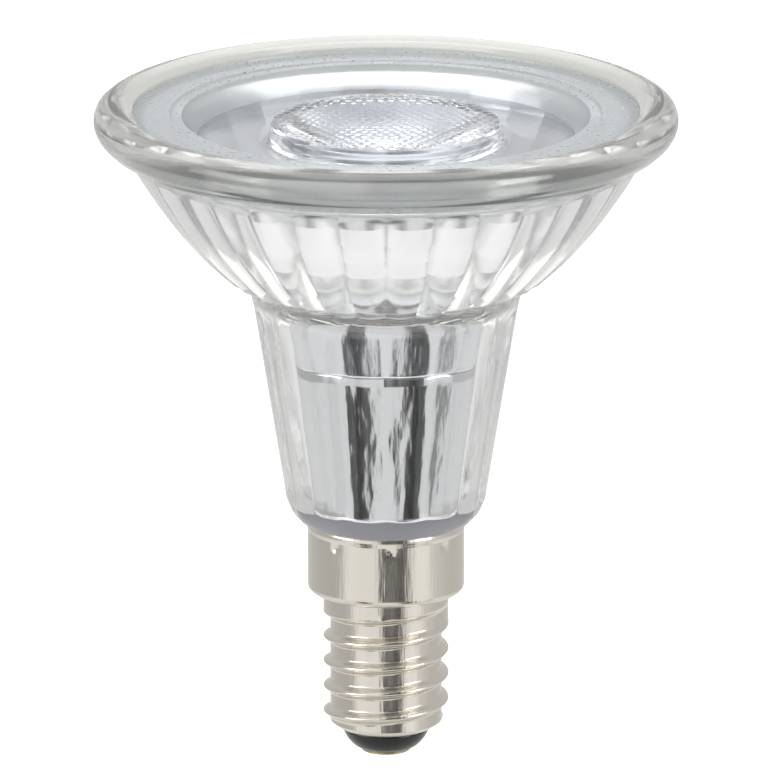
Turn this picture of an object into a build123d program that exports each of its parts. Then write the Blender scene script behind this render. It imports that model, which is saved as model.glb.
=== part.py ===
"""Reflector lamp: fluted glass body, moulded lens, driver in the neck and an E14 screw cap.

Millimetres. The origin is the tip of the centre contact, the lamp's axis is Z
and the light leaves along +Z. Radii are measured from the axis.
"""
import os
from math import cos, pi, sin

from build123d import *

os.makedirs("parts", exist_ok=True)

# E14 screw cap, lengths stacked from the contact tip up
SOLDER_HEIGHT = 0.3
CONTACT_PLATE = 0.3
NOSE_HEIGHT = 2.3
CONE_HEIGHT = 1.35
BARREL_LENGTH = 13.85
SHOULDER_HEIGHT = 1.4
SKIRT_LENGTH = 6.8
THREAD_R = 6.85
BARREL_WALL = 1.1
SKIRT_STEP = 1.8
SHELL_WALL = 0.35
LIP_R = 4.75
LIP_WIDTH = 0.4

# Cap insulator and centre contact
NOSE_R = 2.85
NOSE_FLAT_COUNT = 32
INSULATOR_DEPTH = 3.1
STEM_R = 1.2
STEM_RISE = 1.0
CONTACT_EDGE = 0.15
SOLDER_EDGE = 0.3
SOLDER_TIP_R = 1.1

# Glass body
RIM_R = 31.75
RIM_WIDTH = 4.15
RIM_OVERHANG = 3.35
RIM_FLAT_COUNT = 64
# Section of the rolled rim: inset from the rim's edge and height over the top of the flare
RIM_SECTION = ((5.35, -2.0), (2.95, -0.2), (0.95, 1.0), (0.0, 2.9), (0.45, 4.3), (1.75, 4.9))
RIM_LIP_HEIGHT = 4.2
LEDGE_RISE = 2.0
FLARE_HEIGHT = 16.2
FLARE_BOW = 1.25
FLARE_ROWS = 4
FLARE_WALL = 1.9
FLUTE_COUNT = 32
FLUTE_DEPTH = 0.85
WAIST_STEP = 0.2
NECK_TOP_R = 14.7
NECK_LOW_R = 10.95
NECK_LENGTH = 23.0
NECK_WALL = 2.5
NECK_RIBS = 16
RIB_DEPTH = 0.5
SLOPED_SIDE = 0.3
THROAT_HEIGHT = 1.6
HEEL_HEIGHT = 2.9
HEEL_STEP = 0.1
HEEL_BULGE = 0.25
HEEL_FLAT_COUNT = 48
HEEL_FLOOR = 2.5
SPIGOT_GAP = 0.15
SPIGOT_END_GAP = 0.65
SPIGOT_WALL = 2.15
BORE_FLAT_COUNT = 32

# Lens
LENS_GAP = 0.2
LENS_FLAT_COUNT = 48
FLANGE_THICK = 1.8
FLANGE_WIDTH = 5.2
WINDOW_DRAFT = 1.6
WINDOW_DEPTH = 2.7
WINDOW_THICK = 1.6
WINDOW_SIDE = 1.7
OPTIC_R = 12.6
OPTIC_RISE = 1.8
OPTIC_GAP = 0.4
WELL_GAP = 0.6
WELL_WALL = 0.9
WELL_DEPTH = 3.2

# Heat sink, reflector bowl and light source
SINK_RISE = 2.8
SINK_TOP_R = 12.2
SINK_FLOOR = 1.0
SINK_WALL = 0.6
SINK_REACH = 6.7
SINK_GAP = 0.2
BOWL_WALL = 0.5
BOWL_GAP = 0.5
BOWL_SEAT = 0.8
BOWL_FLOOR = 1.8
PAD_THICK = 0.4
BOARD_SIDE = 15.6
BOARD_THICK = 1.2
PACKAGE_SIDE = 7.6
PACKAGE_THICK = 1.0
EMITTER_R = 3.2
EMITTER_THICK = 0.6

# Driver sleeve, driver board and leads
SLEEVE_GAP = 0.25
SLEEVE_WALL = 0.9
SLEEVE_DROP = 0.4
DRIVER_GAP = 0.7
DRIVER_THICK = 1.0
DRIVER_RISE = 1.2
DRIVER_DROP = 1.0
LEAD_R = 0.45
LEAD_SLOT = 1.3
LED_LEAD_OFFSET = 0.9
LED_LEAD_LAP = 6.1
SHELL_LEAD_TAIL = 2.9
SHELL_LEAD_LAP = 5.0

# Parts of the driver: width, depth and length, and the middle's place from the board's axis and lower edge
FILM_SIZE = (6.0, 3.2, 4.6)
FILM_AT = (-2.6, 3.2)
BRIDGE_SIZE = (4.7, 1.6, 3.8)
BRIDGE_AT = (3.3, 7.2)
CHIP_SIZE = (4.9, 1.5, 3.9)
CHIP_AT = (0.0, 19.2)
CAN_R = 3.15
CAN_LENGTH = 10.5
CAN_AT = (-0.4, 6.6)
CHOKE_SIDE = 6.8
CHOKE_DEPTH = 5.2
CHOKE_FLANGE = 0.8
CHOKE_POST = 2.6
CHOKE_WINDING = 6.0
CHOKE_AT = (0.0, 13.0)
FUSE_R = 1.2
FUSE_LENGTH = 5.0
FUSE_AT = (-3.8, 2.0)


def ring(radius, z, count):
    """Corners of an equal-sided ring at height z, one corner at the front."""
    angles = [2 * pi * i / count - pi / 2 for i in range(count)]
    return [(radius * cos(a), radius * sin(a), z) for a in angles]


def ribbed_ring(radius, z, count, depth_share):
    """Corners of a ring of ribs, each a flat face between two sloped sides, one groove at the front."""
    step = 2 * pi / count
    groove = radius * (1 - depth_share)
    corners = []
    for i in range(count):
        for share, r in ((0, groove), (SLOPED_SIDE, radius), (1 - SLOPED_SIDE, radius)):
            angle = (i + share) * step - pi / 2
            corners.append((r * cos(angle), r * sin(angle), z))
    return corners


def skin(rings):
    """Closed solid of flat faces through rings of corners, one above the other."""
    outlines = [rings[0], rings[-1]]
    count = len(rings[0])
    for low, high in zip(rings[:-1], rings[1:]):
        for i in range(count):
            j = (i + 1) % count
            outlines.append([low[i], low[j], high[j], high[i]])
    return Solid(Shell([Face(Wire.make_polygon(corners, close=True)) for corners in outlines]))


def flats(stations, count):
    """Solid with a given number of flats round the axis through (radius, z) stations."""
    return skin([ring(r, z, count) for r, z in stations])


def on_line(z, low, high):
    """Radius at height z on the straight line through two (radius, z) stations."""
    share = (z - low[1]) / (high[1] - low[1])
    return low[0] + share * (high[0] - low[0])


# Cap heights and radii that follow from the sizes above
plate_z = SOLDER_HEIGHT
nose_z = plate_z + CONTACT_PLATE
lip_z = nose_z + NOSE_HEIGHT
barrel_low_z = lip_z + CONE_HEIGHT
barrel_top_z = barrel_low_z + BARREL_LENGTH
skirt_low_z = barrel_top_z + SHOULDER_HEIGHT
skirt_top_z = skirt_low_z + SKIRT_LENGTH
shell_bore_r = THREAD_R - BARREL_WALL
skirt_r = THREAD_R + SKIRT_STEP
skirt_bore_r = skirt_r - SHELL_WALL
lip_bore_r = LIP_R - LIP_WIDTH
insulator_top_z = lip_z + INSULATOR_DEPTH
stem_top_z = insulator_top_z + STEM_RISE
contact_r = NOSE_R - CONTACT_EDGE
solder_r = contact_r - SOLDER_EDGE

# Glass heights and radii
neck_low_z = skirt_top_z + HEEL_HEIGHT
waist_z = neck_low_z + NECK_LENGTH
flare_top_z = waist_z + FLARE_HEIGHT
waist_r = NECK_TOP_R + WAIST_STEP
flare_top_r = RIM_R - RIM_OVERHANG
pocket_r = RIM_R - RIM_WIDTH
ledge_z = flare_top_z + LEDGE_RISE
rim_top_z = flare_top_z + max(height for inset, height in RIM_SECTION)
spigot_low_z = skirt_low_z + SHELL_WALL + SPIGOT_END_GAP
spigot_r = skirt_bore_r - SPIGOT_GAP
stem_bore_r = spigot_r - SPIGOT_WALL
flare_arc = SagittaArc((waist_r, waist_z), (flare_top_r, flare_top_z), -FLARE_BOW)
flare_points = [flare_arc @ (i / FLARE_ROWS) for i in range(FLARE_ROWS + 1)]
flare_stations = [(point.X, point.Y) for point in flare_points]
flute_share = FLUTE_DEPTH / flare_top_r
rib_share = RIB_DEPTH / NECK_TOP_R
neck_stations = ((NECK_LOW_R, neck_low_z), (NECK_TOP_R, waist_z))
heel_top_r = NECK_LOW_R - HEEL_STEP
heel_middle = ((skirt_r + heel_top_r) / 2 + HEEL_BULGE, skirt_top_z + HEEL_HEIGHT / 2)
heel_stations = ((skirt_r, skirt_top_z), heel_middle, (heel_top_r, neck_low_z))
rim_stations = [(RIM_R - inset, flare_top_z + height) for inset, height in RIM_SECTION]
rim_stations.append((pocket_r, flare_top_z + RIM_LIP_HEIGHT))
neck_bore_low = (NECK_LOW_R - NECK_WALL, skirt_top_z + HEEL_FLOOR)
neck_bore_top = (NECK_TOP_R - NECK_WALL, waist_z - THROAT_HEIGHT)
flare_bore = [(r - FLARE_WALL, z) for r, z in flare_stations]
bore_stations = [neck_bore_low, neck_bore_top, *flare_bore, (flare_top_r - FLARE_WALL, ledge_z)]

# Heights and radii inside the glass
flange_r = pocket_r - LENS_GAP
flange_top_z = ledge_z + FLANGE_THICK
flange_bore_r = flange_r - FLANGE_WIDTH
window_r = flange_bore_r - WINDOW_DRAFT
window_top_z = flange_top_z - WINDOW_DEPTH
window_low_z = window_top_z - WINDOW_THICK
sink_top_z = waist_z + SINK_RISE
sink_low_z = waist_z - SINK_REACH
sink_knee_r = neck_bore_top[0] - SINK_GAP
sink_low_r = on_line(sink_low_z, neck_bore_low, neck_bore_top) - SINK_GAP
bowl_hole_r = SINK_TOP_R - BOWL_SEAT
bowl_stations = [(r - FLARE_WALL - BOWL_GAP, z) for r, z in flare_stations[2:]]
bowl_stations.insert(0, (SINK_TOP_R + BOWL_FLOOR, sink_top_z))
pad_top_z = sink_top_z + PAD_THICK
board_top_z = pad_top_z + BOARD_THICK
package_top_z = board_top_z + PACKAGE_THICK
well_r = EMITTER_R + WELL_GAP
optic_foot_r = well_r + WELL_WALL
optic_foot_z = package_top_z + OPTIC_GAP
sleeve_low_r = neck_bore_low[0] - SLEEVE_GAP
sleeve_low_bore_r = sleeve_low_r - SLEEVE_WALL
sleeve_seat_r = sink_low_r - SINK_WALL - SINK_GAP
sleeve_top_z = sink_top_z - SINK_FLOOR - SLEEVE_DROP
driver_face = DRIVER_THICK / 2
driver_width = 2 * (sleeve_low_bore_r - DRIVER_GAP)
driver_low_z = neck_bore_low[1] + DRIVER_RISE
driver_top_z = sleeve_top_z - DRIVER_DROP
lead_y = driver_face + LEAD_R
led_lead_x = PACKAGE_SIDE / 2 + LED_LEAD_OFFSET
led_lead_low_z = driver_top_z - LED_LEAD_LAP
lead_places = ((led_lead_x, lead_y), (-led_lead_x, lead_y))
shell_lead_y = -(shell_bore_r - LEAD_R)


def on_driver(place):
    """Place on the driver board's face, from its axis and its lower edge."""
    return (place[0], driver_low_z + place[1])


# Fluted glass body: ribbed neck, fluted flare, rolled rim and a bore with flats right through
with BuildPart() as reflector_glass:
    add(flats(heel_stations, HEEL_FLAT_COUNT))
    add(skin([ribbed_ring(r, z, NECK_RIBS, rib_share) for r, z in neck_stations]))
    add(skin([ribbed_ring(r, z, FLUTE_COUNT, flute_share) for r, z in flare_stations]))
    add(flats(rim_stations, RIM_FLAT_COUNT))
    with BuildSketch(Plane.XY.offset(spigot_low_z)):
        Circle(spigot_r)
    extrude(amount=skirt_top_z - spigot_low_z)
    add(flats(bore_stations, BORE_FLAT_COUNT), mode=Mode.SUBTRACT)
    with BuildSketch(Plane.XY.offset(ledge_z)):
        Circle(pocket_r)
    extrude(amount=rim_top_z - ledge_z, mode=Mode.SUBTRACT)
    with BuildSketch(Plane.XY.offset(spigot_low_z)):
        Circle(stem_bore_r)
    extrude(amount=neck_bore_low[1] - spigot_low_z, mode=Mode.SUBTRACT)
reflector_glass.part.label = "reflector_glass"
export_step(reflector_glass.part, "parts/reflector_glass.step")

# Moulded lens: flange, sunk window and collimating optic in one piece
lens_stations = (
    (well_r, optic_foot_z + WELL_DEPTH),
    (well_r, optic_foot_z),
    (optic_foot_r, optic_foot_z),
    (OPTIC_R, window_low_z),
    (window_r + WINDOW_SIDE, window_low_z),
    (flange_bore_r + WINDOW_SIDE, ledge_z),
    (flange_r, ledge_z),
    (flange_r, flange_top_z),
    (flange_bore_r, flange_top_z),
    (window_r, window_top_z),
    (OPTIC_R, window_top_z),
    (OPTIC_R, window_top_z + OPTIC_RISE),
)
with BuildPart() as front_lens:
    add(flats(lens_stations, LENS_FLAT_COUNT))
front_lens.part.label = "front_lens"
export_step(front_lens.part, "parts/front_lens.step")

# Reflector bowl: thin bright sheet pressed into rings of flat facets
with BuildPart() as reflector_bowl:
    inner_stations = [(r - BOWL_WALL, z + BOWL_WALL) for r, z in bowl_stations]
    add(flats(bowl_stations, BORE_FLAT_COUNT))
    add(flats(inner_stations, BORE_FLAT_COUNT), mode=Mode.SUBTRACT)
    hole_stations = ((bowl_hole_r, sink_top_z), (bowl_hole_r, sink_top_z + BOWL_WALL))
    add(flats(hole_stations, BORE_FLAT_COUNT), mode=Mode.SUBTRACT)
reflector_bowl.part.label = "reflector_bowl"
export_step(reflector_bowl.part, "parts/reflector_bowl.step")

# Heat sink: pressed aluminium cup, closed end up, its edge seated on the driver sleeve
with BuildPart() as heat_sink:
    sink_stations = ((sink_low_r, sink_low_z), (sink_knee_r, neck_bore_top[1]), (SINK_TOP_R, sink_top_z))
    hollow_stations = [(r - SINK_WALL, z) for r, z in sink_stations[:2]]
    hollow_stations.append((SINK_TOP_R - SINK_WALL, sink_top_z - SINK_FLOOR))
    add(flats(sink_stations, BORE_FLAT_COUNT))
    add(flats(hollow_stations, BORE_FLAT_COUNT), mode=Mode.SUBTRACT)
    with BuildSketch(Plane.XY.offset(sink_top_z)):
        with Locations(*lead_places):
            Rectangle(LEAD_SLOT, LEAD_SLOT)
    extrude(amount=-SINK_FLOOR, mode=Mode.SUBTRACT)
heat_sink.part.label = "heat_sink"
export_step(heat_sink.part, "parts/heat_sink.step")

# Bonding pad that carries heat from the light-source board to the heat sink
with BuildPart() as thermal_pad:
    with BuildSketch(Plane.XY.offset(sink_top_z)):
        Rectangle(BOARD_SIDE, BOARD_SIDE)
        with Locations(*lead_places):
            Rectangle(LEAD_SLOT, LEAD_SLOT, mode=Mode.SUBTRACT)
    extrude(amount=PAD_THICK)
thermal_pad.part.label = "thermal_pad"
export_step(thermal_pad.part, "parts/thermal_pad.step")

# Board that carries the light source
with BuildPart() as led_board:
    with BuildSketch(Plane.XY.offset(pad_top_z)):
        Rectangle(BOARD_SIDE, BOARD_SIDE)
        with Locations(*lead_places):
            Rectangle(LEAD_SLOT, LEAD_SLOT, mode=Mode.SUBTRACT)
    extrude(amount=BOARD_THICK)
led_board.part.label = "led_board"
export_step(led_board.part, "parts/led_board.step")

# Light source: white square package with a round well
with BuildPart() as led_package:
    with BuildSketch(Plane.XY.offset(board_top_z)):
        Rectangle(PACKAGE_SIDE, PACKAGE_SIDE)
    extrude(amount=PACKAGE_THICK)
    with BuildSketch(Plane.XY.offset(package_top_z)):
        Circle(EMITTER_R)
    extrude(amount=-EMITTER_THICK, mode=Mode.SUBTRACT)
led_package.part.label = "led_package"
export_step(led_package.part, "parts/led_package.step")

# Phosphor fill in the well
with BuildPart() as led_phosphor:
    with BuildSketch(Plane.XY.offset(package_top_z)):
        Circle(EMITTER_R)
    extrude(amount=-EMITTER_THICK)
led_phosphor.part.label = "led_phosphor"
export_step(led_phosphor.part, "parts/led_phosphor.step")

# Driver sleeve: insulating tube that stands on the glass ledge and carries the heat sink
with BuildPart() as driver_sleeve:
    sleeve_bore_r = sleeve_seat_r - SLEEVE_WALL
    add(flats(((sleeve_low_r, neck_bore_low[1]), (sink_low_r, sink_low_z)), BORE_FLAT_COUNT))
    add(flats(((sleeve_seat_r, sink_low_z), (sleeve_seat_r, sleeve_top_z)), BORE_FLAT_COUNT))
    sleeve_hollow = (
        (sleeve_low_bore_r, neck_bore_low[1]),
        (sleeve_bore_r, sink_low_z - 2 * SLEEVE_WALL),
        (sleeve_bore_r, sleeve_top_z),
    )
    add(flats(sleeve_hollow, BORE_FLAT_COUNT), mode=Mode.SUBTRACT)
driver_sleeve.part.label = "driver_sleeve"
export_step(driver_sleeve.part, "parts/driver_sleeve.step")

# Driver board, upright on the axis
with BuildPart() as driver_board:
    with BuildSketch(Plane.XZ.offset(-driver_face)):
        with Locations((0, driver_low_z)):
            Rectangle(driver_width, driver_top_z - driver_low_z, align=(Align.CENTER, Align.MIN))
    extrude(amount=DRIVER_THICK)
driver_board.part.label = "driver_board"
export_step(driver_board.part, "parts/driver_board.step")

# Bulk capacitor: round can along the back of the board
with BuildPart() as bulk_capacitor:
    with BuildSketch(Plane.XY.offset(on_driver(CAN_AT)[1])):
        with Locations((CAN_AT[0], driver_face + CAN_R)):
            Circle(CAN_R)
    extrude(amount=CAN_LENGTH)
bulk_capacitor.part.label = "bulk_capacitor"
export_step(bulk_capacitor.part, "parts/bulk_capacitor.step")

# Film capacitor: moulded block on the back of the board
with BuildPart() as film_capacitor:
    with BuildSketch(Plane.XZ.offset(-driver_face)):
        with Locations(on_driver(FILM_AT)):
            Rectangle(FILM_SIZE[0], FILM_SIZE[2])
    extrude(amount=-FILM_SIZE[1])
film_capacitor.part.label = "film_capacitor"
export_step(film_capacitor.part, "parts/film_capacitor.step")

# Choke: ferrite core with square flanges and a wound square post, on the front of the board
with BuildPart() as choke_core:
    with BuildSketch(Plane.XZ.offset(driver_face)):
        with Locations(on_driver(CHOKE_AT)):
            Rectangle(CHOKE_SIDE, CHOKE_SIDE)
    extrude(amount=CHOKE_FLANGE)
    with BuildSketch(Plane.XZ.offset(driver_face + CHOKE_DEPTH - CHOKE_FLANGE)):
        with Locations(on_driver(CHOKE_AT)):
            Rectangle(CHOKE_SIDE, CHOKE_SIDE)
    extrude(amount=CHOKE_FLANGE)
    with BuildSketch(Plane.XZ.offset(driver_face)):
        with Locations(on_driver(CHOKE_AT)):
            Rectangle(CHOKE_POST, CHOKE_POST)
    extrude(amount=CHOKE_DEPTH)
choke_core.part.label = "choke_core"
export_step(choke_core.part, "parts/choke_core.step")

with BuildPart() as choke_winding:
    with BuildSketch(Plane.XZ.offset(driver_face + CHOKE_FLANGE)):
        with Locations(on_driver(CHOKE_AT)):
            Rectangle(CHOKE_WINDING, CHOKE_WINDING)
            Rectangle(CHOKE_POST, CHOKE_POST, mode=Mode.SUBTRACT)
    extrude(amount=CHOKE_DEPTH - 2 * CHOKE_FLANGE)
choke_winding.part.label = "choke_winding"
export_step(choke_winding.part, "parts/choke_winding.step")

# Bridge rectifier on the front of the board
with BuildPart() as bridge_rectifier:
    with BuildSketch(Plane.XZ.offset(driver_face)):
        with Locations(on_driver(BRIDGE_AT)):
            Rectangle(BRIDGE_SIZE[0], BRIDGE_SIZE[2])
    extrude(amount=BRIDGE_SIZE[1])
bridge_rectifier.part.label = "bridge_rectifier"
export_step(bridge_rectifier.part, "parts/bridge_rectifier.step")

# Driver chip on the front of the board
with BuildPart() as driver_chip:
    with BuildSketch(Plane.XZ.offset(driver_face)):
        with Locations(on_driver(CHIP_AT)):
            Rectangle(CHIP_SIZE[0], CHIP_SIZE[2])
    extrude(amount=CHIP_SIZE[1])
driver_chip.part.label = "driver_chip"
export_step(driver_chip.part, "parts/driver_chip.step")

# Fusible resistor: short round body on the front of the board
with BuildPart() as fuse_resistor:
    with BuildSketch(Plane.XY.offset(on_driver(FUSE_AT)[1])):
        with Locations((FUSE_AT[0], -driver_face - FUSE_R)):
            Circle(FUSE_R)
    extrude(amount=FUSE_LENGTH)
fuse_resistor.part.label = "fuse_resistor"
export_step(fuse_resistor.part, "parts/fuse_resistor.step")

# Two leads straight up from the driver to the light-source board
led_lead_length = board_top_z + LEAD_R - led_lead_low_z
with BuildPart() as led_lead_plus:
    with BuildSketch(Plane.XY.offset(led_lead_low_z)):
        with Locations(lead_places[0]):
            Circle(LEAD_R)
    extrude(amount=led_lead_length)
led_lead_plus.part.label = "led_lead_plus"
export_step(led_lead_plus.part, "parts/led_lead_plus.step")

with BuildPart() as led_lead_minus:
    with BuildSketch(Plane.XY.offset(led_lead_low_z)):
        with Locations(lead_places[1]):
            Circle(LEAD_R)
    extrude(amount=led_lead_length)
led_lead_minus.part.label = "led_lead_minus"
export_step(led_lead_minus.part, "parts/led_lead_minus.step")

# Lead from the driver board's lower edge down to the stem of the centre contact
with BuildPart() as centre_lead:
    with BuildSketch(Plane.XY.offset(stem_top_z)):
        Circle(LEAD_R)
    extrude(amount=driver_low_z - stem_top_z)
centre_lead.part.label = "centre_lead"
export_step(centre_lead.part, "parts/centre_lead.step")

# Lead from the front of the driver board down to the inside of the screw shell
with BuildPart() as shell_lead:
    with BuildLine() as shell_path:
        Polyline(
            (0, shell_lead_y, barrel_top_z - SHELL_LEAD_TAIL),
            (0, shell_lead_y, barrel_top_z),
            (0, -lead_y, driver_low_z),
            (0, -lead_y, driver_low_z + SHELL_LEAD_LAP),
        )
    with BuildSketch(Plane.XY.offset(barrel_top_z - SHELL_LEAD_TAIL)):
        with Locations((0, shell_lead_y)):
            Circle(LEAD_R)
    sweep(path=shell_path.line, transition=Transition.RIGHT)
shell_lead.part.label = "shell_lead"
export_step(shell_lead.part, "parts/shell_lead.step")

# Screw shell: screw barrel at its crest size, collar and skirt from one drawn sheet
with BuildPart() as screw_shell:
    with BuildSketch(Plane.XZ):
        with BuildLine():
            Polyline(
                (lip_bore_r, lip_z),
                (LIP_R, lip_z),
                (THREAD_R, barrel_low_z),
                (THREAD_R, barrel_top_z),
                (skirt_r, skirt_low_z),
                (skirt_r, skirt_top_z),
                (skirt_bore_r, skirt_top_z),
                (skirt_bore_r, skirt_low_z + SHELL_WALL),
                (shell_bore_r, skirt_low_z + SHELL_WALL),
                (shell_bore_r, barrel_low_z + SHELL_WALL),
                (lip_bore_r, barrel_low_z + SHELL_WALL),
                close=True,
            )
        make_face()
    revolve(axis=Axis.Z)
screw_shell.part.label = "screw_shell"
export_step(screw_shell.part, "parts/screw_shell.step")

# Black glass insulator in the shell's end
nose_stations = ((NOSE_R, nose_z), (LIP_R, lip_z), (lip_bore_r, lip_z), (lip_bore_r, insulator_top_z))
with BuildPart() as cap_insulator:
    add(flats(nose_stations, NOSE_FLAT_COUNT))
    with BuildSketch(Plane.XY.offset(nose_z)):
        Circle(STEM_R)
    extrude(amount=insulator_top_z - nose_z, mode=Mode.SUBTRACT)
cap_insulator.part.label = "cap_insulator"
export_step(cap_insulator.part, "parts/cap_insulator.step")

# Centre contact: plate with a stem up through the insulator
with BuildPart() as centre_contact:
    with BuildSketch(Plane.XY.offset(nose_z)):
        Circle(contact_r)
    extrude(amount=-CONTACT_PLATE)
    with BuildSketch(Plane.XY.offset(nose_z)):
        Circle(STEM_R)
    extrude(amount=stem_top_z - nose_z)
centre_contact.part.label = "centre_contact"
export_step(centre_contact.part, "parts/centre_contact.step")

# Solder dome under the centre contact
with BuildPart() as contact_solder:
    add(flats(((SOLDER_TIP_R, 0), (solder_r, plate_z)), NOSE_FLAT_COUNT))
contact_solder.part.label = "contact_solder"
export_step(contact_solder.part, "parts/contact_solder.step")
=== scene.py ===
"""Looks of the reflector lamp: fluted glass, moulded lens, bright bowl, driver and screw cap.

Metres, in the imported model's own frame: the contact tip is the origin, Z is the
lamp's axis and the light leaves along +Z. Sizes below are in millimetres and are
turned to metres once, where a surface becomes a mesh. A profile is a row of
(radius, height) points, and every new piece is a profile carried round the axis.
"""
import math

import bpy
import numpy as np
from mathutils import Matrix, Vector


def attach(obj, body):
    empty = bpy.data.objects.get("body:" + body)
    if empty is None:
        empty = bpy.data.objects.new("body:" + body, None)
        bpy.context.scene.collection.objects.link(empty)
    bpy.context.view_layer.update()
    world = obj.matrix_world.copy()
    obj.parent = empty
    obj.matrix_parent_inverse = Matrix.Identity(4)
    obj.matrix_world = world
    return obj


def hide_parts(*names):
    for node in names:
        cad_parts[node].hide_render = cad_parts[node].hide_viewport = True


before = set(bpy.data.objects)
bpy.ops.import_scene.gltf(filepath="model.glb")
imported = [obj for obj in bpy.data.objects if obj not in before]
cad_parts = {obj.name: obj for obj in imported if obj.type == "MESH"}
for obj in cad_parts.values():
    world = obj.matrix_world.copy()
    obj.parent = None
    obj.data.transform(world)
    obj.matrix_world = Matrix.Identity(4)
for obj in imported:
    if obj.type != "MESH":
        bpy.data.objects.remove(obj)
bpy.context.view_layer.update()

MM = 0.001
TURN = 2 * math.pi

# Screw cap sizes
THREAD_R = 6.85
ROOT_R = 6.1
PITCH = 2.82
CREST_REACH = 0.8
GROOVE_START = 2.0
GROOVE_END = 16.2
GROOVE_FADE = 0.7
BARREL_LOW = 4.7
BARREL_TOP = 18.1
BARREL_BORE_R = 5.75
SKIRT_R = 8.65
SKIRT_BEAD = 0.1
SKIRT_LOW = 19.5
SKIRT_TOP = 26.3
SKIRT_FLOOR = 19.85
SHELL_WALL = 0.35
LIP_R = 4.75
LIP_BORE_R = 4.35
LIP_Z = 2.9
LIP_TOP = 4.6
STAKE_COUNT = 8
STAKE_Z = 24.8
STAKE_R = 0.45
STAKE_DEPTH = 0.2
STAKE_TURN = math.radians(4)
WELD_Z = 16.7
WELD_R = 0.35
WELD_HEIGHT = 0.15
WELD_TURN = math.radians(-94)
SHELL_COLUMNS = 256

# Screw cap profiles
LIP_POINTS = ((LIP_BORE_R, LIP_Z + 0.1), (LIP_R, LIP_Z), (5.4, 3.25), (6.3, 3.95), (THREAD_R, LIP_TOP))
SHOULDER_POINTS = (
    (THREAD_R, BARREL_TOP + 0.15), (7.15, 18.4), (8.0, 18.55), (8.5, 19.0),
    (SKIRT_R - SKIRT_BEAD, SKIRT_LOW + 0.3))
SKIRT_POINTS = ((SKIRT_R - SKIRT_BEAD, SKIRT_LOW + 0.4), (SKIRT_R - SKIRT_BEAD, SKIRT_TOP - 0.8))
BEAD_POINTS = (
    (SKIRT_R - 0.04, SKIRT_TOP - 0.65), (SKIRT_R, SKIRT_TOP - 0.35),
    (SKIRT_R - 0.04, SKIRT_TOP - 0.05), (SKIRT_R - 0.2, SKIRT_TOP))
SHELL_INSIDE = (
    (SKIRT_R - SHELL_WALL, SKIRT_TOP - 0.1), (SKIRT_R - SHELL_WALL, SKIRT_FLOOR),
    (BARREL_BORE_R, SKIRT_FLOOR), (BARREL_BORE_R, LIP_TOP), (LIP_BORE_R, LIP_TOP))

# Glass sizes
STEM_R = 8.15
STEM_BORE_R = 6.0
STEM_LOW = 20.5
STEM_TOP = 26.25
NECK_LOW = (10.95, 29.2)
NECK_TOP = (14.5, 51.0)
NECK_BORE_LOW = (8.45, 28.8)
NECK_BORE_TOP = (12.2, 50.6)
RIB_COUNT = 16
RIB_SHARE = 0.02
RIB_START = (27.2, 30.5)
RIB_END = (49.5, 51.5)
FLUTE_COUNT = 32
FLUTE_SHARE = 0.03
FLUTE_START = (51.8, 54.0)
FLARE_LOW = (14.9, 52.2)
FLARE_TOP = (28.4, 68.4)
FLARE_BOW = 1.25
FLARE_WALL = 1.9
WAIST_ROWS = 9
RIM_R = 31.75
RIM_TOP = 73.3
POCKET_R = 27.6
LEDGE_R = 26.5
LEDGE_Z = 70.4
GLASS_COLUMNS = 384

# Glass profiles; the underside is where the rim's cone cuts the flutes off
HEEL_POINTS = ((8.65, 26.3), (9.5, 26.75), (10.3, 27.7), (10.75, 28.7), NECK_LOW)
WAIST_POINTS = ((14.55, 51.3), (14.85, 52.3), (15.5, 53.2))
RIM_POINTS = (
    (30.3, 69.0), (31.3, 70.0), (RIM_R, 71.3), (31.35, 72.6),
    (30.0, RIM_TOP), (28.5, 73.1), (POCKET_R, 72.5))
UNDERSIDE_R = (26.4, 28.8, 30.3)
UNDERSIDE_Z = (66.4, 68.2, 69.0)

# Lens sizes
FLANGE_R = 27.4
FLANGE_TOP = 72.2
FLANGE_BORE_R = 22.2
RING_R = 23.5
RING_BORE_R = 23.3
RING_HEIGHT = 0.25
SEAT_R = 23.9
WINDOW_R = 20.6
WINDOW_TOP = 69.5
WINDOW_LOW = 67.9
WINDOW_LOW_R = 22.3
OPTIC_R = 12.6
OPTIC_TOP = 71.3
OPTIC_BOW = 0.6
OPTIC_FOOT_R = 4.7
OPTIC_FOOT_Z = 58.0
WELL_R = 3.8
WELL_TOP = 61.2
WELL_CROWN = 0.4
CELL_PITCH = 1.2
CELL_SAG = 0.22
LENS_COLUMNS = 384

# Lens profiles; the smallest radius stands for the pole, which one small face closes
WELL_POINTS = (
    (WELL_R * 0.02, WELL_TOP), (WELL_R, WELL_TOP - WELL_CROWN),
    (WELL_R, OPTIC_FOOT_Z), (OPTIC_FOOT_R, OPTIC_FOOT_Z))
SEAT_POINTS = ((WINDOW_LOW_R, WINDOW_LOW), (SEAT_R, LEDGE_Z), (FLANGE_R, LEDGE_Z), (FLANGE_R, FLANGE_TOP))
FLANGE_POINTS = (
    (FLANGE_R, FLANGE_TOP), (RING_R, FLANGE_TOP),
    (RING_BORE_R, FLANGE_TOP - RING_HEIGHT), (FLANGE_BORE_R, FLANGE_TOP - RING_HEIGHT))
WINDOW_POINTS = ((WINDOW_R, WINDOW_TOP), (OPTIC_R + 0.4, WINDOW_TOP))
PUCK_SIDE_POINTS = (
    (OPTIC_R + 0.12, WINDOW_TOP + 0.1), (OPTIC_R, WINDOW_TOP + 0.5),
    (OPTIC_R - 0.1, OPTIC_TOP - 0.5), (OPTIC_R - 0.3, OPTIC_TOP - 0.1))
PUCK_TOP_POINTS = ((OPTIC_R - 0.6, OPTIC_TOP), (0.05, OPTIC_TOP))

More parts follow.
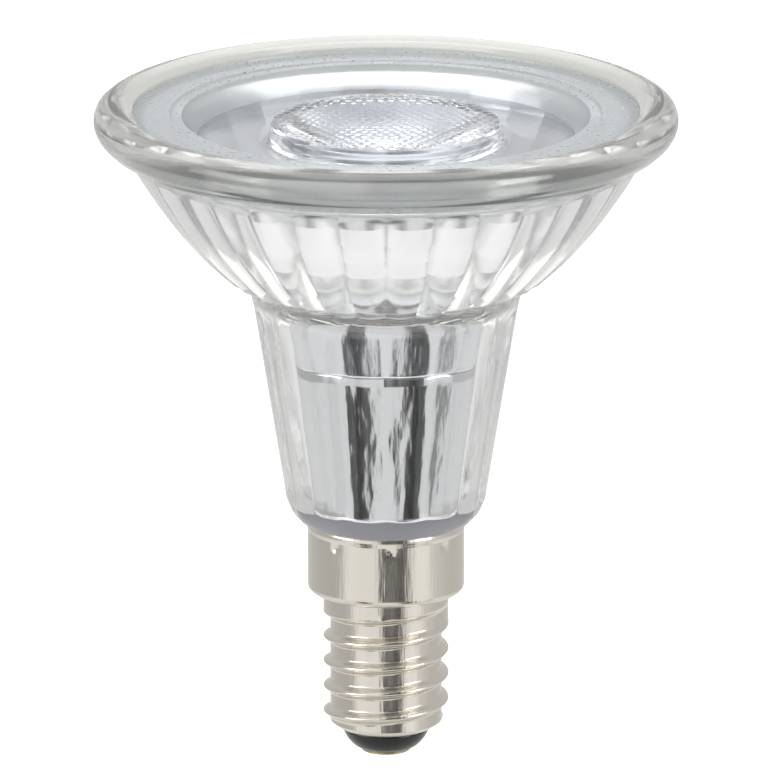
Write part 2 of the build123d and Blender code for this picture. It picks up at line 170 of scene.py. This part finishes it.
# Bowl, cup and sleeve profiles
BOWL_WALL = 0.5
BOWL_BOW = 0.5
BOWL_FOOT_POINTS = ((11.4, 55.0), (14.0, 55.0), (17.3, 57.1))
BOWL_LOW = (20.2, 59.5)
BOWL_TOP = (26.0, 68.4)
CUP_LOW_EDGE = ((10.7, 45.5), (10.86, 45.53), (10.99, 45.64))
CUP_WALL_POINTS = ((11.06, 45.85), (12.0, 50.6), (12.2, 54.6))
CUP_TOP_EDGE = ((12.1, 54.85), (11.85, 55.0), (11.4, 55.0))
CUP_INSIDE = ((0.3, 55.0), (0.3, 54.0), (11.5, 54.0), (11.4, 50.6), (10.4, 45.5))
SLEEVE_POINTS = (
    (8.2, 28.8), (10.94, 45.15), (10.86, 45.4), (10.7, 45.5), (10.2, 45.5),
    (10.2, 53.6), (9.3, 53.6), (9.3, 43.7), (7.3, 28.8))
SHEET_COLUMNS = 128

# Nose, contact and solder profiles
NOSE_POINTS = ((2.85, 0.6), (3.6, 1.05), (4.3, 1.85), (4.72, 2.7), (4.72, 2.9))
NOSE_INSIDE = ((4.35, 2.9), (4.35, 6.0), (1.2, 6.0), (1.2, 0.6))
CONTACT_POINTS = (
    (0.02, 0.3), (2.6, 0.3), (2.7, 0.38), (2.7, 0.55), (2.65, 0.6), (1.2, 0.6), (1.2, 7.0), (0.02, 7.0))
SOLDER_POINTS = ((1.0, 0.0), (1.7, 0.06), (2.25, 0.2), (2.4, 0.3))
SOLDER_LOW_POLE = (0.02, 0.0)
SOLDER_TOP_POLE = (0.02, 0.3)
NOSE_COLUMNS = 96


def smooth_step(x, low, high):
    """0 below low, 1 above high, and 3t*t - 2t*t*t between them."""
    t = np.clip((x - low) / (high - low), 0, 1)
    return t * t * (3 - 2 * t)


def smooth_line(points, count):
    """Count points on a curve through the given ones.

    Each span is a cubic whose slope at a point is half the chord between that point's neighbours.
    """
    p = np.array(points, float)
    p = np.vstack((2 * p[0] - p[1], p, 2 * p[-1] - p[-2]))
    s = np.linspace(0, len(points) - 1, count)
    i = np.minimum(s.astype(int), len(points) - 2)
    t = (s - i)[:, None]
    a, b, c, d = p[i], p[i + 1], p[i + 2], p[i + 3]
    square = (2 * a - 5 * b + 4 * c - d) * t ** 2
    cube = (3 * b - a - 3 * c + d) * t ** 3
    return 0.5 * (2 * b + (c - a) * t + square + cube)


def straight_line(points, steps):
    """Points on straight runs between corners, each run cut into its own number of equal steps."""
    runs = [np.linspace(a, b, n, endpoint=False) for a, b, n in zip(points[:-1], points[1:], steps)]
    return np.vstack(runs + [np.array(points[-1:], float)])


def arc_line(low, high, bow, count):
    """Points on a shallow arc from low to high.

    The arc is the chord plus 4*bow*t*(1-t) along the normal that points outwards.
    """
    low, high = np.array(low), np.array(high)
    t = np.linspace(0, 1, count)[:, None]
    along = (high - low) / np.linalg.norm(high - low)
    normal = np.array((along[1], -along[0]))
    return low + t * (high - low) + 4 * bow * t * (1 - t) * normal


def share_of_turn(angle, count):
    """Place from 0 to 1 within one of count equal shares of a turn, 0 at the front."""
    return np.mod((angle + math.pi / 2) / TURN * count, 1)


def turned(profile, columns):
    """Radius, height and angle grids of a profile carried round the axis.

    Rows run along the profile and columns round the axis.
    """
    angle = np.arange(columns) / columns * TURN
    radius = np.repeat(profile[:, :1], columns, axis=1)
    height = np.repeat(profile[:, 1:2], columns, axis=1)
    return radius, height, np.repeat(angle[None, :], len(profile), axis=0)


def wall_mesh(name, radius, height, angle, loop, sharp, bands):
    """Mesh of a grid in cylinder coordinates: x = r cos a, y = r sin a, z = h, closed round the axis.

    With loop the last row joins the first; otherwise each end is closed by one flat face.
    Edges that bend by more than sharp degrees stay hard.
    Bands are (first row, material) pairs for the faces from that row on.
    """
    rows, columns = radius.shape
    xyz = np.stack((radius * np.cos(angle), radius * np.sin(angle), height), axis=-1).reshape(-1, 3) * MM
    row = np.arange(rows if loop else rows - 1)[:, None]
    col = np.arange(columns)[None, :]
    up = (row + 1) % rows
    right = (col + 1) % columns
    corners = (row * columns + col, row * columns + right, up * columns + right, up * columns + col)
    faces = np.stack(corners, axis=-1).reshape(-1, 4).tolist()
    if not loop:
        faces.append(list(range(columns))[::-1])
        faces.append(list(range((rows - 1) * columns, rows * columns)))
    mesh = bpy.data.meshes.new(name)
    mesh.from_pydata(xyz.tolist(), [], faces)
    face_row = np.repeat(np.arange(len(row)), columns)
    index = np.zeros(len(faces), int)
    for place, (first, material) in enumerate(bands):
        mesh.materials.append(material)
        index[: len(face_row)][face_row >= first] = place
    if not loop:
        index[-1] = len(bands) - 1
    mesh.polygons.foreach_set("material_index", index)
    mesh.polygons.foreach_set("use_smooth", np.ones(len(faces), bool))
    mesh.update()
    mesh.set_sharp_from_angle(angle=math.radians(sharp))
    piece = bpy.data.objects.new(name, mesh)
    bpy.context.scene.collection.objects.link(piece)
    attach(piece, "root")
    return piece


def turned_piece(name, profile, columns, material, sharp=35, loop=True):
    """A plain profile carried round the axis, in one material."""
    radius, height, angle = turned(profile, columns)
    return wall_mesh(name, radius, height, angle, loop, sharp, ((0, material),))


def stands_for(piece, node):
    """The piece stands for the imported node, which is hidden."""
    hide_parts(node)


def linear(code):
    """Linear colour of an sRGB hex value: (c + 0.055) / 1.055 to the power 2.4 above the dark end."""
    c = np.array([int(code[i : i + 2], 16) for i in (1, 3, 5)]) / 255
    value = np.where(c <= 0.04045, c / 12.92, ((c + 0.055) / 1.055) ** 2.4)
    return (*value.tolist(), 1.0)


def node(tree, kind, settings=(), inputs=(), links=()):
    """Adds a node with its settings and input values, and links (input, from node, output) triples to it."""
    made = tree.nodes.new(kind)
    for key, value in settings:
        setattr(made, key, value)
    for key, value in inputs:
        made.inputs[key].default_value = value
    for key, source, output in links:
        tree.links.new(source.outputs[output], made.inputs[key])
    return made


def finish_of(name, inputs):
    """New material with one principled shader whose sockets hold the given values.

    Returns the material, its tree and its shader.
    """
    material = bpy.data.materials.new(name)
    material.use_nodes = True
    tree = material.node_tree
    shader = tree.nodes["Principled BSDF"]
    for key, value in inputs:
        shader.inputs[key].default_value = value
    return material, tree, shader


# Settings of a math node
MULTIPLY = (("operation", "MULTIPLY"),)
MULTIPLY_ADD = (("operation", "MULTIPLY_ADD"),)
MAXIMUM = (("operation", "MAXIMUM"),)
ARCTAN2 = (("operation", "ARCTAN2"),)

# Height of a full-strength bump, as a share of the grain's width
BUMP_SHARE = 0.1


def roughen(tree, shader, size_mm, strength, detail=2.0, low=None, high=None, draw=1.0):
    """Adds a fine uneven surface: noise of the given grain width as bump, and as roughness from low to high.

    The grain is draw times longer along the axis than across it.
    """
    place = node(tree, "ShaderNodeTexCoord")
    drawn = node(tree, "ShaderNodeVectorMath", MULTIPLY, ((1, (1, 1, 1 / draw)),), ((0, place, "Object"),))
    grain = node(
        tree, "ShaderNodeTexNoise", inputs=(("Scale", 1 / (size_mm * MM)), ("Detail", detail)),
        links=(("Vector", drawn, "Vector"),))
    bump = node(
        tree, "ShaderNodeBump", inputs=(("Strength", strength), ("Distance", BUMP_SHARE * size_mm * MM)),
        links=(("Height", grain, "Fac"),))
    tree.links.new(bump.outputs["Normal"], shader.inputs["Normal"])
    if low is not None:
        spread = node(
            tree, "ShaderNodeMapRange", inputs=(("To Min", low), ("To Max", high)),
            links=(("Value", grain, "Fac"),))
        tree.links.new(spread.outputs["Result"], shader.inputs["Roughness"])


# Pressed soda-lime glass: clear, faintly warm, with the slow ripple that a mould leaves
pressed_glass, tree, shader = finish_of("pressed_glass", (
    ("Base Color", linear("#F3F3F2")), ("Roughness", 0.06), ("IOR", 1.5), ("Transmission Weight", 1.0)))
roughen(tree, shader, 5.0, 0.03, 1.0)

# The same glass on the neck, with upright streaks from pressing that break up what is seen through it
streaked_glass, tree, shader = finish_of("streaked_glass", (
    ("Base Color", linear("#F3F3F2")), ("Roughness", 0.06), ("IOR", 1.5), ("Transmission Weight", 1.0)))
roughen(tree, shader, 0.9, 0.6, 2.0, draw=7.0)

# The same glass on the rolled rim and the waist, duller where the press rings held it
rolled_glass, tree, shader = finish_of("rolled_glass", (
    ("Base Color", linear("#ECEDE9")), ("Roughness", 0.1), ("IOR", 1.5), ("Transmission Weight", 0.87)))
roughen(tree, shader, 5.0, 0.03, 1.0)

# Clear acrylic, injection moulded and polished
clear_acrylic, tree, shader = finish_of("clear_acrylic", (
    ("Base Color", linear("#F8FAFC")), ("Roughness", 0.02), ("IOR", 1.49), ("Transmission Weight", 1.0)))
roughen(tree, shader, 6.0, 0.02, 1.0)

# The same acrylic, etched in the mould to a sparkling stipple, drawn coarser than real so that it shows
stippled_acrylic, tree, shader = finish_of("stippled_acrylic", (
    ("Base Color", linear("#E4E9EC")), ("Roughness", 0.25), ("IOR", 1.49), ("Transmission Weight", 0.55)))
roughen(tree, shader, 0.6, 0.2, 2.0, 0.1, 0.6)

# The same acrylic on the slope down to the window, frosted so that its edge looks soft
frosted_acrylic, tree, shader = finish_of("frosted_acrylic", (
    ("Base Color", linear("#EEF2F5")), ("Roughness", 0.4), ("IOR", 1.49), ("Transmission Weight", 0.75)))
roughen(tree, shader, 0.6, 0.1, 2.0, 0.3, 0.5)

# The same acrylic on the puck, left satin by the mould's many small cells
satin_acrylic, tree, shader = finish_of("satin_acrylic", (
    ("Base Color", linear("#F6F8FB")), ("Roughness", 0.08), ("IOR", 1.49), ("Transmission Weight", 1.0)))
roughen(tree, shader, 6.0, 0.02, 1.0)

# Set cement on the part of the glass that sits in the cap, dull; its lavender grey, also put on the stem's
# bore, is painted shade for the heel seen through the glass
cement_and_painted_shade, tree, shader = finish_of("cement_and_painted_shade", (("Base Color", linear("#DCDCE6")), ("Roughness", 0.8)))
roughen(tree, shader, 0.4, 0.2, 2.0, 0.7, 0.9)

# Bright pressed aluminium sheet: mirror-like with a faint unevenness
bright_aluminium, tree, shader = finish_of("bright_aluminium", (
    ("Base Color", linear("#F0F2F6")), ("Metallic", 1.0), ("Roughness", 0.12)))
roughen(tree, shader, 1.5, 0.06, 2.0, 0.08, 0.18)

# The bowl: the same aluminium, vacuum coated and satin
coated_bowl, tree, shader = finish_of("coated_bowl", (
    ("Base Color", linear("#F3F4F7")), ("Metallic", 1.0), ("Roughness", 0.24)))
roughen(tree, shader, 1.5, 0.015, 2.0, 0.22, 0.26)

# Vacuum-metallised moulded sleeve: bright, with long shallow waves that bend its reflections
metallised_sleeve, tree, shader = finish_of("metallised_sleeve", (
    ("Base Color", linear("#E8E9EC")), ("Metallic", 1.0), ("Roughness", 0.1)))
roughen(tree, shader, 2.5, 0.5, 2.0, 0.04, 0.1, 4.0)

# Nickel plate on drawn brass: warm silver with upright draw lines, drawn coarser than real so that they show
nickel_plate, tree, shader = finish_of("nickel_plate", (
    ("Base Color", linear("#E0DBD1")), ("Metallic", 1.0), ("Roughness", 0.14)))
roughen(tree, shader, 0.3, 0.9, 3.0, 0.12, 0.26, 12.0)

# Black cap glass, fire polished
black_glass, tree, shader = finish_of("black_glass", (
    ("Base Color", linear("#08080A")), ("Roughness", 0.15), ("IOR", 1.52)))
roughen(tree, shader, 1.5, 0.08, 2.0, 0.05, 0.15)

# Stamped brass, dulled by handling
contact_brass, tree, shader = finish_of("contact_brass", (
    ("Base Color", linear("#BDAA86")), ("Metallic", 1.0), ("Roughness", 0.3)))
roughen(tree, shader, 0.3, 0.1, 2.0, 0.22, 0.42)

# Tin solder, dull and slightly lumpy
tin_solder, tree, shader = finish_of("tin_solder", (
    ("Base Color", linear("#B9B6AE")), ("Metallic", 1.0), ("Roughness", 0.35)))
roughen(tree, shader, 0.5, 0.35, 2.0, 0.25, 0.45)

# Moulded, coated and laminated finishes of the inner parts: name, colour, metallic, roughness, grain in mm
INNER_FINISHES = {
    "thermal_pad": ("silicone_pad", "#A0A4A8", 0.0, 0.75, 0.3),
    "led_board": ("white_solder_resist", "#F1F1EC", 0.0, 0.35, 0.4),
    "led_package": ("white_ceramic_package", "#F4F4EE", 0.0, 0.4, 0.2),
    "led_phosphor": ("phosphor_silicone", "#F2CB4A", 0.0, 0.3, 0.15),
    "driver_board": ("glass_epoxy_laminate", "#1F5A36", 0.0, 0.45, 0.5),
    "bulk_capacitor": ("sleeved_can", "#20232A", 0.0, 0.35, 0.8),
    "film_capacitor": ("dipped_epoxy", "#B8391F", 0.0, 0.35, 0.6),
    "choke_core": ("sintered_ferrite", "#2A2A2C", 0.0, 0.6, 0.2),
    "choke_winding": ("enamelled_copper", "#B9683A", 1.0, 0.3, 0.25),
    "bridge_rectifier": ("black_moulding_compound", "#151517", 0.0, 0.5, 0.2),
    "driver_chip": ("black_moulding_compound", "#151517", 0.0, 0.5, 0.2),
    "fuse_resistor": ("resistor_coating", "#6E8F80", 0.0, 0.4, 0.4),
    "led_lead_plus": ("red_wire_insulation", "#A81F1C", 0.0, 0.45, 0.5),
    "led_lead_minus": ("black_wire_insulation", "#111113", 0.0, 0.45, 0.5),
    "centre_lead": ("red_wire_insulation", "#A81F1C", 0.0, 0.45, 0.5),
    "shell_lead": ("black_wire_insulation", "#111113", 0.0, 0.45, 0.5),
}
made = {}
for name, (finish, colour, metallic, rough, grain) in INNER_FINISHES.items():
    if finish not in made:
        made[finish], tree, shader = finish_of(finish, (
            ("Base Color", linear(colour)), ("Metallic", metallic), ("Roughness", rough)))
        roughen(tree, shader, grain, 0.2, 2.0, 0.8 * rough, 1.2 * rough)
    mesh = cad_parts[name].data
    mesh.materials.clear()
    mesh.materials.append(made[finish])


# Glass body: lobed flare and ribbed neck outside, plain bore inside
def glass_body():
    """Neck and flare have the radius R*(1 - depth*lobe), and the flare is never inside the rim's underside.

    The lobe is (2u - 1)^2 on a flute and (0.5 + 0.5 cos 2 pi u)^2 on a rib.
    Here u is the place within one of them.
    """
    stem = straight_line(((STEM_R, STEM_LOW), (STEM_R, STEM_TOP)), (4,))
    heel = smooth_line(HEEL_POINTS, 18)
    neck = straight_line((NECK_LOW, NECK_TOP), (26,))[1:]
    flare = arc_line(FLARE_LOW, FLARE_TOP, FLARE_BOW, 66)[WAIST_ROWS:]
    waist = smooth_line((*WAIST_POINTS, flare[0]), 13)[:-1]
    rim = smooth_line(RIM_POINTS, 40)
    rim[:, 1] = np.minimum(rim[:, 1], RIM_TOP)
    ledge = straight_line(((POCKET_R, LEDGE_Z), (LEDGE_R, LEDGE_Z)), (3,))
    flare_bore = arc_line(FLARE_LOW, FLARE_TOP, FLARE_BOW, 24)[::-1] - (FLARE_WALL, 0)
    neck_bore = straight_line((NECK_BORE_TOP, NECK_BORE_LOW), (16,))
    stem_bore = straight_line(((STEM_BORE_R, NECK_BORE_LOW[1]), (STEM_BORE_R, STEM_LOW)), (6,))
    outside = np.vstack((stem, heel, neck, waist, flare, rim))
    inside = np.vstack((ledge, flare_bore, neck_bore, stem_bore))
    radius, height, angle = turned(np.vstack((outside, inside)), GLASS_COLUMNS)

    row = np.arange(len(radius))[:, None]
    neck_first = len(stem)
    waist_first = neck_first + len(heel) + len(neck)
    flare_first = waist_first + len(waist)
    rim_first = flare_first + len(flare)
    on_neck = (row >= neck_first) & (row < waist_first)
    on_flare = (row >= waist_first) & (row < rim_first)

    ribbed = smooth_step(height, *RIB_START) * (1 - smooth_step(height, *RIB_END))
    rib = RIB_SHARE * (0.5 + 0.5 * np.cos(TURN * share_of_turn(angle, RIB_COUNT))) ** 2 * ribbed
    fluted = smooth_step(height, *FLUTE_START)
    flute = FLUTE_SHARE * (2 * share_of_turn(angle, FLUTE_COUNT) - 1) ** 2 * fluted
    underside = np.interp(height, UNDERSIDE_Z, UNDERSIDE_R, left=0.0)
    lobed = np.where(on_neck, radius * (1 - rib), np.where(on_flare, radius * (1 - flute), radius))
    radius = np.where(on_flare, np.maximum(lobed, underside), lobed)
    # The stem and its bore take the cement finish, whose lavender grey is painted shade seen through the
    # heel
    bands = (
        (0, cement_and_painted_shade), (neck_first - 1, streaked_glass), (waist_first, rolled_glass),
        (flare_first, pressed_glass), (rim_first, rolled_glass), (len(outside), pressed_glass),
        (len(radius) - len(stem_bore), cement_and_painted_shade))
    return wall_mesh("glass_body", radius, height, angle, True, 28, bands)


# Lens: stippled flange, sunk clear window and a raised puck of small domed cells
def moulded_lens():
    """A turned profile; on the puck's top, z falls from each cell's middle by sag*(d / reach)^2.

    Here d is the distance to the nearest cell's middle. The middles are two square-cornered nets, one
    shifted by half a step each way, which together make the honeycomb.
    """
    well = straight_line(WELL_POINTS, (6, 3, 2))
    cone = arc_line((OPTIC_FOOT_R, OPTIC_FOOT_Z), (OPTIC_R, WINDOW_LOW), OPTIC_BOW, 14)[1:]
    seat = straight_line(SEAT_POINTS, (4, 3, 3))
    flange = straight_line(FLANGE_POINTS, (10, 1, 4))[1:]
    window = straight_line(WINDOW_POINTS, (6,))
    side = smooth_line(PUCK_SIDE_POINTS, 10)
    top = straight_line(PUCK_TOP_POINTS, (84,))
    radius, height, angle = turned(np.vstack((well, cone, seat, flange, window, side, top)), LENS_COLUMNS)
    flange_first = len(well) + len(cone) + len(seat)
    window_first = flange_first + len(flange)
    side_first = window_first + len(window)
    top_first = side_first + len(side)

    x = radius[top_first:] * np.cos(angle[top_first:])
    y = radius[top_first:] * np.sin(angle[top_first:])
    tall = CELL_PITCH * math.sqrt(3)
    near = []
    for a, b in ((0, 0), (CELL_PITCH / 2, tall / 2)):
        aside = x - a - CELL_PITCH * np.round((x - a) / CELL_PITCH)
        ahead = y - b - tall * np.round((y - b) / tall)
        near.append(aside ** 2 + ahead ** 2)
    reach = CELL_PITCH / math.sqrt(3)
    height[top_first:] -= CELL_SAG * np.minimum(near[0], near[1]) / reach ** 2
    bands = (
        (0, clear_acrylic), (flange_first - 1, stippled_acrylic), (window_first - 1, frosted_acrylic),
        (window_first, clear_acrylic), (side_first, satin_acrylic))
    return wall_mesh("moulded_lens", radius, height, angle, False, 24, bands)


# Screw shell: rolled thread, collar, rounded shoulder, skirt with staking dimples and a rolled edge
def screw_shell():
    """Barrel radius is root + (crest - root)*w, w being cos^2 of a quarter turn over the crest's reach.

    Past the reach w is 0. The groove fades where its own middle passes the last turn. A stake is a dent of
    depth*exp(-(d/R)^2), the weld on the collar a dome of height*exp(-(d/R)^2), d being the distance from
    its middle.
    """
    lip = smooth_line(LIP_POINTS, 14)
    barrel = straight_line(((THREAD_R, BARREL_LOW), (THREAD_R, BARREL_TOP)), (150,))
    shoulder = smooth_line(SHOULDER_POINTS, 16)
    skirt = straight_line(SKIRT_POINTS, (40,))
    bead = smooth_line(BEAD_POINTS, 8)
    inside = straight_line(SHELL_INSIDE, (2, 2, 3, 2))
    radius, height, angle = turned(np.vstack((lip, barrel, shoulder, skirt, bead, inside)), SHELL_COLUMNS)
    row = np.arange(len(radius))[:, None]
    barrel_end = len(lip) + len(barrel)
    skirt_first = barrel_end + len(shoulder)
    threaded = row < barrel_end
    on_skirt = (row >= skirt_first) & (row < skirt_first + len(skirt))

    along = (height - GROOVE_START) / PITCH - angle / TURN
    place = along - np.round(along)
    groove_middle = height - place * PITCH
    from_crest = (0.5 - np.abs(place)) * PITCH
    crest = np.cos(math.pi / 2 * np.minimum(from_crest / CREST_REACH, 1)) ** 2
    faded = smooth_step(groove_middle, GROOVE_END - GROOVE_FADE, GROOVE_END)
    crest = crest + (1 - crest) * faded
    barrel_r = ROOT_R + (THREAD_R - ROOT_R) * crest

    weld_across = (np.mod(angle - WELD_TURN + math.pi, TURN) - math.pi) * THREAD_R
    weld_apart = np.hypot(weld_across, height - WELD_Z)
    weld = WELD_HEIGHT * np.exp(-((weld_apart / WELD_R) ** 2))
    radius = np.where(threaded, np.minimum(radius, barrel_r) + weld, radius)

    turn = share_of_turn(angle - STAKE_TURN, STAKE_COUNT)
    stake_across = (np.mod(turn + 0.5, 1) - 0.5) * TURN / STAKE_COUNT * SKIRT_R
    stake_apart = np.hypot(stake_across, height - STAKE_Z)
    dent = STAKE_DEPTH * np.exp(-((stake_apart / STAKE_R) ** 2))
    radius = np.where(on_skirt, radius - dent, radius)
    return wall_mesh("threaded_shell", radius, height, angle, True, 40, ((0, nickel_plate),))


stands_for(glass_body(), "reflector_glass")
stands_for(moulded_lens(), "front_lens")
stands_for(screw_shell(), "screw_shell")

# Bright bowl: rows of flat facets, one column behind each flute
# Its inside is the outside set off inwards, and upwards at the foot
bowl_outer = np.vstack((np.array(BOWL_FOOT_POINTS), arc_line(BOWL_LOW, BOWL_TOP, BOWL_BOW, 5)))
inwards = np.array(((-BOWL_WALL, 0),))
upwards = np.array(((0, BOWL_WALL),))
bowl_inner = bowl_outer[::-1] + np.vstack((np.repeat(inwards, len(bowl_outer) - 1, axis=0), upwards))
bowl = turned_piece("faceted_bowl", np.vstack((bowl_outer, bowl_inner)), FLUTE_COUNT, coated_bowl, 2)
stands_for(bowl, "reflector_bowl")

# Aluminium cup with rounded edges, and the sleeve below it, whose upper corner is rounded too
cup_wall = straight_line(CUP_WALL_POINTS, (10, 8))
cup = np.vstack((CUP_LOW_EDGE, cup_wall, smooth_line(CUP_TOP_EDGE, 4), CUP_INSIDE))
cup_skin = turned_piece("aluminium_cup", cup, SHEET_COLUMNS, bright_aluminium)
stands_for(cup_skin, "heat_sink")
sleeve = straight_line(SLEEVE_POINTS, (16, 1, 1, 2, 4, 2, 4, 8))[:-1]
sleeve_skin = turned_piece("driver_sleeve_skin", sleeve, SHEET_COLUMNS, metallised_sleeve)
stands_for(sleeve_skin, "driver_sleeve")

# Black glass nose and the contact with its solder
nose = np.vstack((smooth_line(NOSE_POINTS, 16), NOSE_INSIDE))
stands_for(turned_piece("glass_nose", nose, NOSE_COLUMNS, black_glass), "cap_insulator")
plate = turned_piece("contact_plate", np.array(CONTACT_POINTS), NOSE_COLUMNS, contact_brass, loop=False)
stands_for(plate, "centre_contact")
dome = np.vstack((SOLDER_LOW_POLE, smooth_line(SOLDER_POINTS, 8), SOLDER_TOP_POLE))
solder = turned_piece("solder_dome", dome, NOSE_COLUMNS, tin_solder, loop=False)
stands_for(solder, "contact_solder")

# Floor well below the lamp, white to the camera; its corners and the distances of the fall-off are in metres
FLOOR_CORNERS = ((-0.09, -0.075, -0.06), (0.09, -0.075, -0.06), (0.2, 3, -0.06), (-0.2, 3, -0.06))
CAMERA_LEVEL = 0.65
# Added light for rays that come through glass: bright near the lamp, falling off behind it
# Mirror rays get one low level everywhere
NEAR_Y = 0.05
NEAR_LEVEL = 0.62
FAR_Y = 0.25
FAR_LEVEL = 0.02
MIRROR_LEVEL = 0.05
floor_mesh = bpy.data.meshes.new("floor")
floor_mesh.from_pydata(FLOOR_CORNERS, [], [(0, 1, 2, 3)])
floor = bpy.data.objects.new("floor", floor_mesh)
bpy.context.scene.collection.objects.link(floor)
pale_floor, tree, shader = finish_of("pale_floor", (("Base Color", linear("#D9D9D6")), ("Roughness", 0.9)))
rays = node(tree, "ShaderNodeLightPath")
place = node(tree, "ShaderNodeTexCoord")
spot = node(tree, "ShaderNodeSeparateXYZ", links=(("Vector", place, "Object"),))
fall = node(
    tree, "ShaderNodeMapRange", links=(("Value", spot, "Y"),),
    inputs=(("From Min", NEAR_Y), ("From Max", FAR_Y), ("To Min", NEAR_LEVEL), ("To Max", FAR_LEVEL)))
through = node(
    tree, "ShaderNodeMath", MULTIPLY, links=((0, rays, "Is Transmission Ray"), (1, fall, "Result")))
mirrored = node(tree, "ShaderNodeMath", MULTIPLY, ((1, MIRROR_LEVEL),), ((0, rays, "Is Glossy Ray"),))
lit = node(tree, "ShaderNodeMath", MAXIMUM, links=((0, through, "Value"), (1, mirrored, "Value")))
seen = node(
    tree, "ShaderNodeMath", MULTIPLY_ADD, ((1, CAMERA_LEVEL),),
    ((0, rays, "Is Camera Ray"), (2, lit, "Value")))
shader.inputs["Emission Color"].default_value = (1, 1, 1, 1)
tree.links.new(seen.outputs["Value"], shader.inputs["Emission Strength"])
floor_mesh.materials.append(pale_floor)

# Room: white to the camera; to all other rays it has pale and dark parts round the lamp, as a studio has
# Stops are (share of a turn, level): 0 and 1 are the backdrop, 0.5 is the camera's side, less is left of it
ROOM_STOPS = (
    (0.0, 0.68), (0.1, 0.62), (0.19, 0.55), (0.3, 0.5), (0.33, 0.97), (0.47, 0.97),
    (0.483, 0.03), (0.503, 0.03), (0.513, 0.2), (0.537, 0.2), (0.548, 0.05), (0.582, 0.1),
    (0.605, 1.0), (0.68, 1.0), (0.7, 0.72), (0.8, 0.6), (0.9, 0.62), (1.0, 0.68))
# The same for the low part of the room: pale, dark on each side of the camera, with a grey part at the right
LOW_STOPS = (
    (0.0, 0.65), (0.15, 0.8), (0.25, 0.93), (0.375, 0.93), (0.385, 0.05), (0.43, 0.05),
    (0.438, 0.97), (0.562, 0.97), (0.57, 0.04), (0.62, 0.05), (0.63, 0.93), (0.69, 0.93),
    (0.695, 0.35), (0.704, 0.35), (0.71, 0.93), (0.78, 0.9), (0.85, 0.8), (1.0, 0.65))
# Height of a ray's direction where the low part begins, and where it has taken over
LOW_START = -0.36
LOW_FULL = -0.42


def set_stops(ramp, stops):
    """Puts grey stops on a colour ramp: the first two reuse the ramp's own, the rest are added."""
    for place, (at, value) in enumerate(stops):
        stop = ramp.elements[place] if place < 2 else ramp.elements.new(at)
        stop.position = at
        stop.color = (value, value, value, 1)


world = bpy.data.worlds.new("studio_room")
bpy.context.scene.world = world
world.use_nodes = True
tree = world.node_tree
room = tree.nodes["Background"]
rays = node(tree, "ShaderNodeLightPath")
way = node(tree, "ShaderNodeTexCoord")
faced = node(tree, "ShaderNodeVectorMath", MULTIPLY, ((1, (1, -1, 1)),), ((0, way, "Generated"),))
tilt = node(tree, "ShaderNodeSeparateXYZ", links=(("Vector", faced, "Vector"),))
around = node(tree, "ShaderNodeMath", ARCTAN2, links=((0, tilt, "X"), (1, tilt, "Y")))
share = node(
    tree, "ShaderNodeMapRange", inputs=(("From Min", -math.pi), ("From Max", math.pi)),
    links=(("Value", around, "Value"),))
sides = node(tree, "ShaderNodeValToRGB", links=(("Fac", share, "Result"),))
set_stops(sides.color_ramp, ROOM_STOPS)
lower = node(tree, "ShaderNodeValToRGB", links=(("Fac", share, "Result"),))
set_stops(lower.color_ramp, LOW_STOPS)
drop = node(
    tree, "ShaderNodeMapRange", inputs=(("From Min", LOW_START), ("From Max", LOW_FULL)),
    links=(("Value", tilt, "Z"),))
# Sockets 6 and 7 are the mix node's two colours, and its output 2 is the mixed one
level = node(
    tree, "ShaderNodeMix", (("data_type", "RGBA"),),
    links=(("Factor", drop, "Result"), (6, sides, "Color"), (7, lower, "Color")))
white = node(tree, "ShaderNodeMath", MAXIMUM, links=((0, level, 2), (1, rays, "Is Camera Ray")))
tree.links.new(white.outputs["Value"], room.inputs["Strength"])
room.inputs["Color"].default_value = (1, 1, 1, 1)

# Two soft boxes and a top light, aimed at the middle of the lamp
# Each has its name, its place and size in metres, and its power in watts
MIDDLE = Vector((0, 0, 0.045))
SOFT_BOXES = (
    ("left_box", (-0.55, -0.25, 0.25), 0.35, 1.2),
    ("right_box", (0.5, -0.35, 0.2), 0.25, 1.0),
    ("top_box", (0.0, 0.1, 0.7), 0.5, 2.0),
)
for name, place, size, power in SOFT_BOXES:
    light = bpy.data.lights.new(name, "AREA")
    light.size = size
    light.energy = power
    lamp = bpy.data.objects.new(name, light)
    bpy.context.scene.collection.objects.link(lamp)
    lamp.location = place
    away = Vector(place) - MIDDLE
    lamp.rotation_euler = away.to_track_quat("Z", "Y").to_euler()

# Camera: a long lens 2 m away, 15.3 degrees above the horizon, with 9.18 pixels to a millimetre at the lamp
ELEVATION = math.radians(15.3)
DISTANCE = 2.0
FRAME_PIXELS = 768
PIXELS_PER_MM = 9.18
SENSOR_WIDTH = 36
FRAME_WIDTH = FRAME_PIXELS / PIXELS_PER_MM * MM
camera_data = bpy.data.cameras.new("long_lens")
camera_data.sensor_width = SENSOR_WIDTH
camera_data.lens = SENSOR_WIDTH * DISTANCE / FRAME_WIDTH
camera_data.clip_end = 20
camera = bpy.data.objects.new("long_lens", camera_data)
bpy.context.scene.collection.objects.link(camera)
target = Vector((-0.218 * MM, 0, 41.66 * MM))
camera.location = target + DISTANCE * Vector((0, -math.cos(ELEVATION), math.sin(ELEVATION)))
camera.rotation_euler = (math.pi / 2 - ELEVATION, 0, 0)
bpy.context.scene.camera = camera
bpy.context.scene.view_settings.view_transform = "Standard"
# Light passes many walls of glass before it leaves this lamp
bpy.context.scene.cycles.max_bounces = 32
bpy.context.scene.cycles.glossy_bounces = 16
bpy.context.scene.cycles.transmission_bounces = 32
